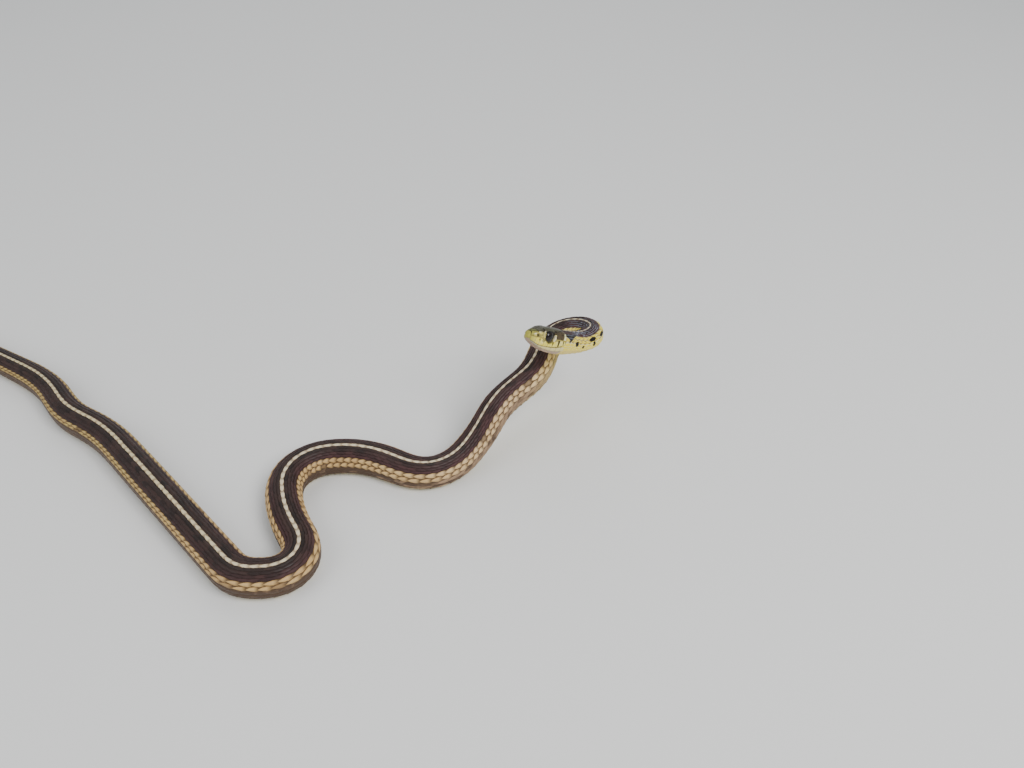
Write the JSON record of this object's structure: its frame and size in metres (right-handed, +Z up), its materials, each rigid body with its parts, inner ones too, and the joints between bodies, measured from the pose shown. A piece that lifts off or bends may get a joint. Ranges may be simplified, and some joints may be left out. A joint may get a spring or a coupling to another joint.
{
  "type": "garter snake",
  "caption": "Life-size garter snake at rest: slim striped body in long shallow bends, neck raised in a small loop, head looking ahead with mouth closed.",
  "frame": {"origin": "middle of the bounding box in plan, at the floor the snake rests on", "axes": "+X along the longest extent, from the tail side to the head side; +Y to the far side in the picture; +Z up"},
  "size_m": [0.4618, 0.1876, 0.0707],
  "materials": {
    "body_skin": "satin keeled scales, near-black brown with pale stripes along the back and sides",
    "head_skin": "smooth satin head shields, olive brown above and pale yellow along the lips",
    "eye": "wet glossy dark red-brown eye with a round black pupil"
  },
  "bodies": {
    "root": {"head": "head_skin", "eye_left": "eye", "eye_right": "eye", "neck_upper": "body_skin", "neck_lower": "body_skin", "forebody_upper": "body_skin", "forebody_lower": "body_skin", "trunk_1": "body_skin", "trunk_2": "body_skin", "trunk_3": "body_skin", "trunk_4": "body_skin", "trunk_5": "body_skin", "trunk_6": "body_skin", "trunk_7": "body_skin", "tail_base": "body_skin", "tail_middle": "body_skin", "tail_tip": "body_skin"}
  },
  "joints": []
}
